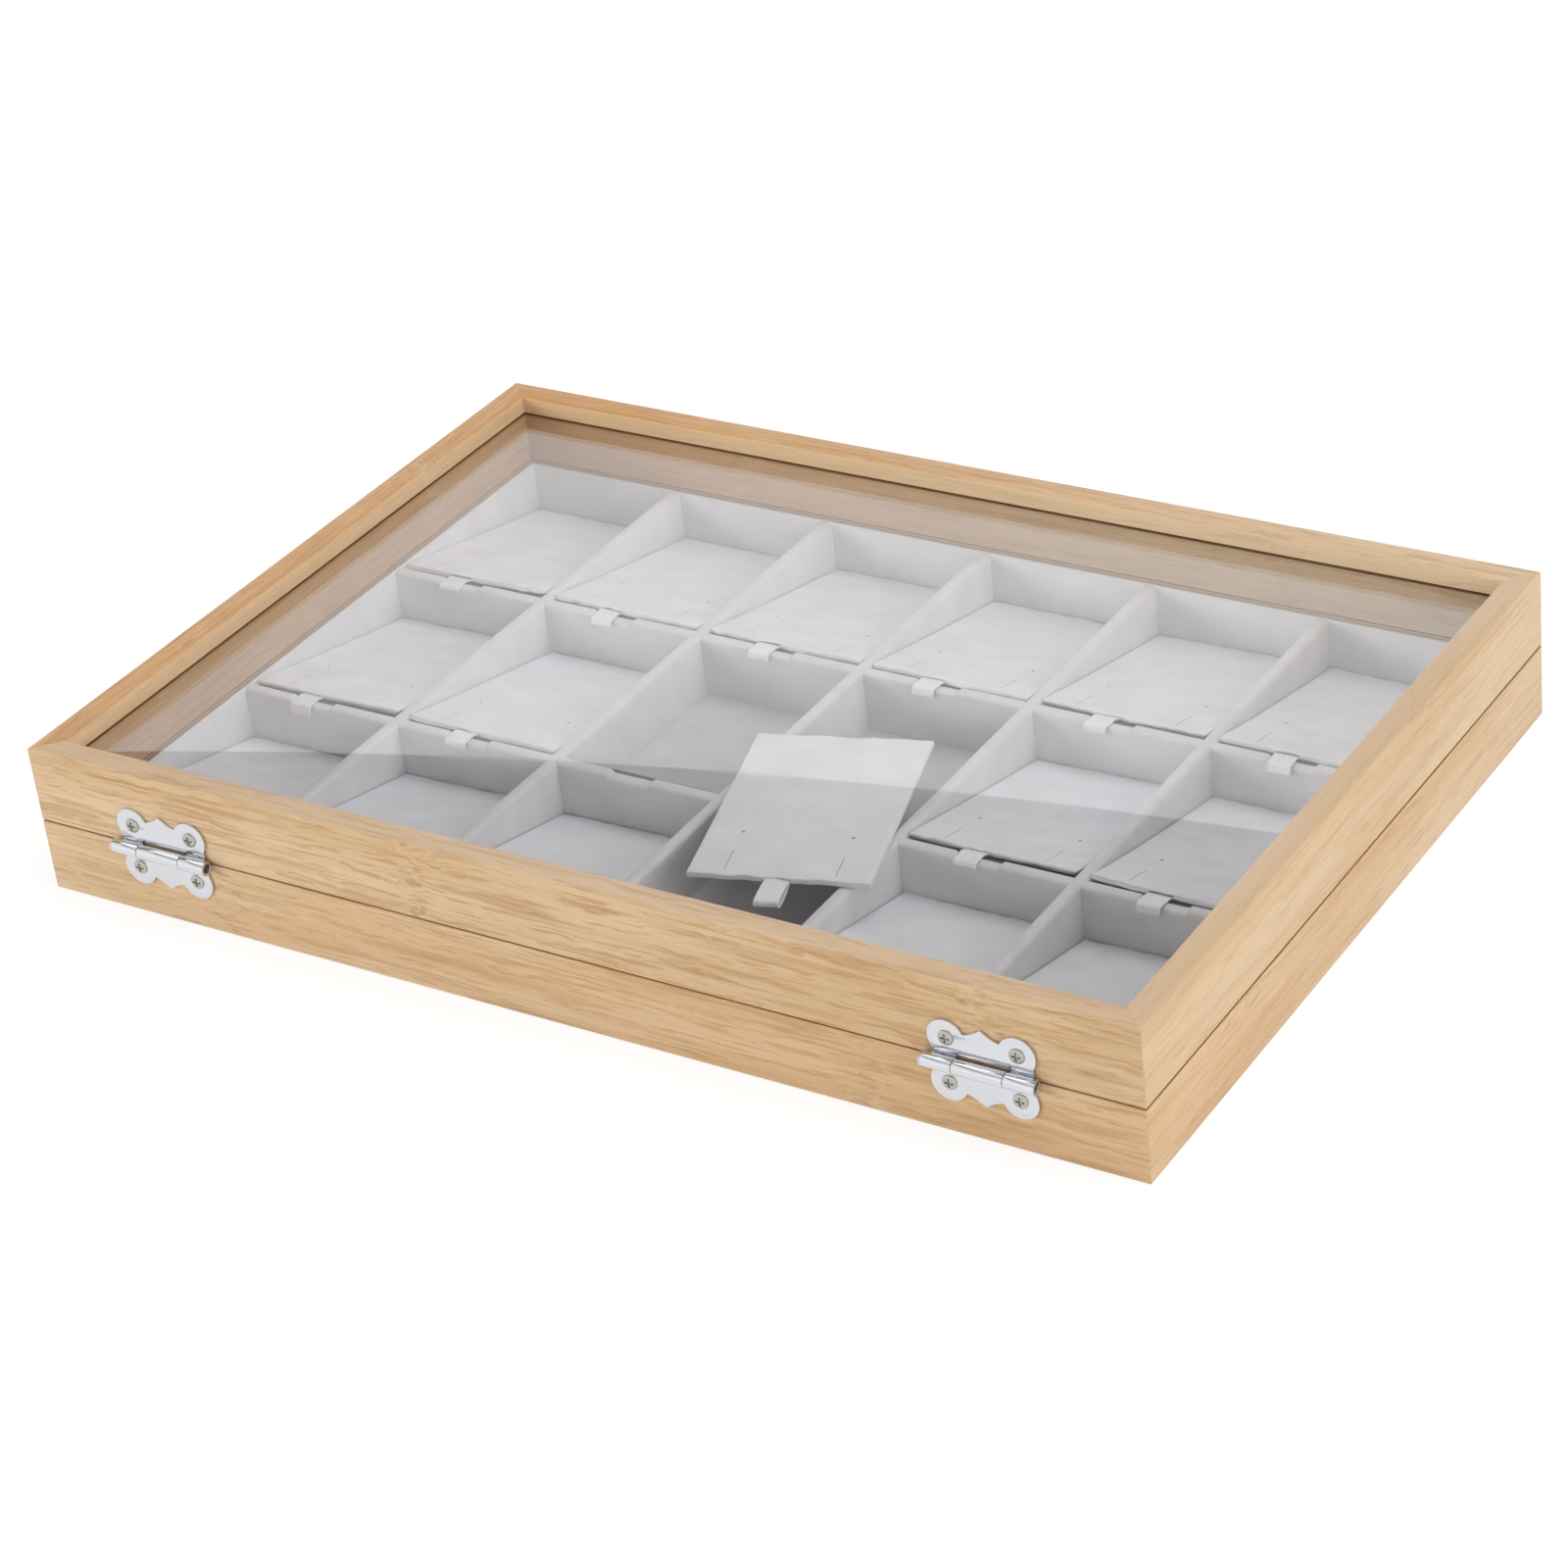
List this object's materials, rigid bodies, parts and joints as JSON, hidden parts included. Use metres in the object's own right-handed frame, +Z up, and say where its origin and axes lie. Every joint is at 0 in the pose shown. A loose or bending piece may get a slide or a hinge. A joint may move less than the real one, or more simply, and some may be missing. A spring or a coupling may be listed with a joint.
{
  "type": "jewelry display tray",
  "caption": "Shallow wooden display case with a hinged glass lid over a velvet tray of compartments with sloped, lift-out jewelry cards.",
  "frame": {"origin": "middle of the underside of the case, on the surface it stands on", "axes": "+X along the hinge side, to the right when the hinges face the viewer; +Y from the hinge side to the opening side; +Z up"},
  "size_m": [0.35, 0.2475, 0.046],
  "materials": {
    "bamboo_laminate": "satin bamboo-grain laminate on board",
    "bottom_board": "matt hardboard",
    "clear_glass": "clear polished",
    "hinge_chrome": "bright plated",
    "screw_steel": "bright plated",
    "tray_velvet": "pale grey velvet on board",
    "card_velvet": "pale grey velvet on card",
    "satin_ribbon": "white satin"
  },
  "bodies": {
    "base": {"base_back_rail": "bamboo_laminate", "base_front_rail": "bamboo_laminate", "base_left_rail": "bamboo_laminate", "base_right_rail": "bamboo_laminate", "base_panel": "bottom_board", "left_hinge_base_leaf": "hinge_chrome", "left_hinge_pin": "hinge_chrome", "right_hinge_base_leaf": "hinge_chrome", "right_hinge_pin": "hinge_chrome", "base_hinge_screws": "screw_steel", "tray_floor": "tray_velvet", "tray_rim": "tray_velvet", "card_rests": "tray_velvet", "column_divider_1": "tray_velvet", "column_divider_2": "tray_velvet", "column_divider_3": "tray_velvet", "column_divider_4": "tray_velvet", "column_divider_5": "tray_velvet", "row_divider_1": "tray_velvet", "row_divider_2": "tray_velvet"},
    "lid": {"lid_back_rail": "bamboo_laminate", "lid_front_rail": "bamboo_laminate", "lid_left_rail": "bamboo_laminate", "lid_right_rail": "bamboo_laminate", "glass_pane": "clear_glass", "left_hinge_lid_leaf": "hinge_chrome", "right_hinge_lid_leaf": "hinge_chrome", "lid_hinge_screws": "screw_steel"},
    "card_r1c1": {"card_r1c1": "card_velvet", "ribbon_r1c1": "satin_ribbon"},
    "card_r1c2": {"card_r1c2": "card_velvet", "ribbon_r1c2": "satin_ribbon"},
    "card_r1c3": {"card_r1c3": "card_velvet", "ribbon_r1c3": "satin_ribbon"},
    "card_r1c5": {"card_r1c5": "card_velvet", "ribbon_r1c5": "satin_ribbon"},
    "card_r1c6": {"card_r1c6": "card_velvet", "ribbon_r1c6": "satin_ribbon"},
    "card_r2c1": {"card_r2c1": "card_velvet", "ribbon_r2c1": "satin_ribbon"},
    "card_r2c2": {"card_r2c2": "card_velvet", "ribbon_r2c2": "satin_ribbon"},
    "card_r2c5": {"card_r2c5": "card_velvet", "ribbon_r2c5": "satin_ribbon"},
    "card_r2c6": {"card_r2c6": "card_velvet", "ribbon_r2c6": "satin_ribbon"},
    "card_r3c1": {"card_r3c1": "card_velvet", "ribbon_r3c1": "satin_ribbon"},
    "card_r3c2": {"card_r3c2": "card_velvet", "ribbon_r3c2": "satin_ribbon"},
    "card_r3c3": {"card_r3c3": "card_velvet", "ribbon_r3c3": "satin_ribbon"},
    "card_r3c4": {"card_r3c4": "card_velvet", "ribbon_r3c4": "satin_ribbon"},
    "card_r3c5": {"card_r3c5": "card_velvet", "ribbon_r3c5": "satin_ribbon"},
    "card_r3c6": {"card_r3c6": "card_velvet", "ribbon_r3c6": "satin_ribbon"},
    "loose_card": {"loose_card": "card_velvet", "loose_ribbon": "satin_ribbon"}
  },
  "joints": [
    {"name": "lid_hinge", "type": "hinge", "parent": "base", "child": "lid", "pos_m": [0, -0.1239, 0.02255], "axis": [1, 0, 0], "range_deg": [0, 168]},
    {"name": "card_r1c1_lift", "type": "slide", "parent": "base", "child": "card_r1c1", "axis": [0, 0, 1], "range_m": [0, 0.01]},
    {"name": "card_r1c2_lift", "type": "slide", "parent": "base", "child": "card_r1c2", "axis": [0, 0, 1], "range_m": [0, 0.01]},
    {"name": "card_r1c3_lift", "type": "slide", "parent": "base", "child": "card_r1c3", "axis": [0, 0, 1], "range_m": [0, 0.01]},
    {"name": "card_r1c5_lift", "type": "slide", "parent": "base", "child": "card_r1c5", "axis": [0, 0, 1], "range_m": [0, 0.01]},
    {"name": "card_r1c6_lift", "type": "slide", "parent": "base", "child": "card_r1c6", "axis": [0, 0, 1], "range_m": [0, 0.01]},
    {"name": "card_r2c1_lift", "type": "slide", "parent": "base", "child": "card_r2c1", "axis": [0, 0, 1], "range_m": [0, 0.01]},
    {"name": "card_r2c2_lift", "type": "slide", "parent": "base", "child": "card_r2c2", "axis": [0, 0, 1], "range_m": [0, 0.01]},
    {"name": "card_r2c5_lift", "type": "slide", "parent": "base", "child": "card_r2c5", "axis": [0, 0, 1], "range_m": [0, 0.01]},
    {"name": "card_r2c6_lift", "type": "slide", "parent": "base", "child": "card_r2c6", "axis": [0, 0, 1], "range_m": [0, 0.01]},
    {"name": "card_r3c1_lift", "type": "slide", "parent": "base", "child": "card_r3c1", "axis": [0, 0, 1], "range_m": [0, 0.01]},
    {"name": "card_r3c2_lift", "type": "slide", "parent": "base", "child": "card_r3c2", "axis": [0, 0, 1], "range_m": [0, 0.01]},
    {"name": "card_r3c3_lift", "type": "slide", "parent": "base", "child": "card_r3c3", "axis": [0, 0, 1], "range_m": [0, 0.01]},
    {"name": "card_r3c4_lift", "type": "slide", "parent": "base", "child": "card_r3c4", "axis": [0, 0, 1], "range_m": [0, 0.01]},
    {"name": "card_r3c5_lift", "type": "slide", "parent": "base", "child": "card_r3c5", "axis": [0, 0, 1], "range_m": [0, 0.01]},
    {"name": "card_r3c6_lift", "type": "slide", "parent": "base", "child": "card_r3c6", "axis": [0, 0, 1], "range_m": [0, 0.01]},
    {"name": "loose_card_lift", "type": "slide", "parent": "base", "child": "loose_card", "axis": [0, 0, 1], "range_m": [0, 0.012]}
  ]
}
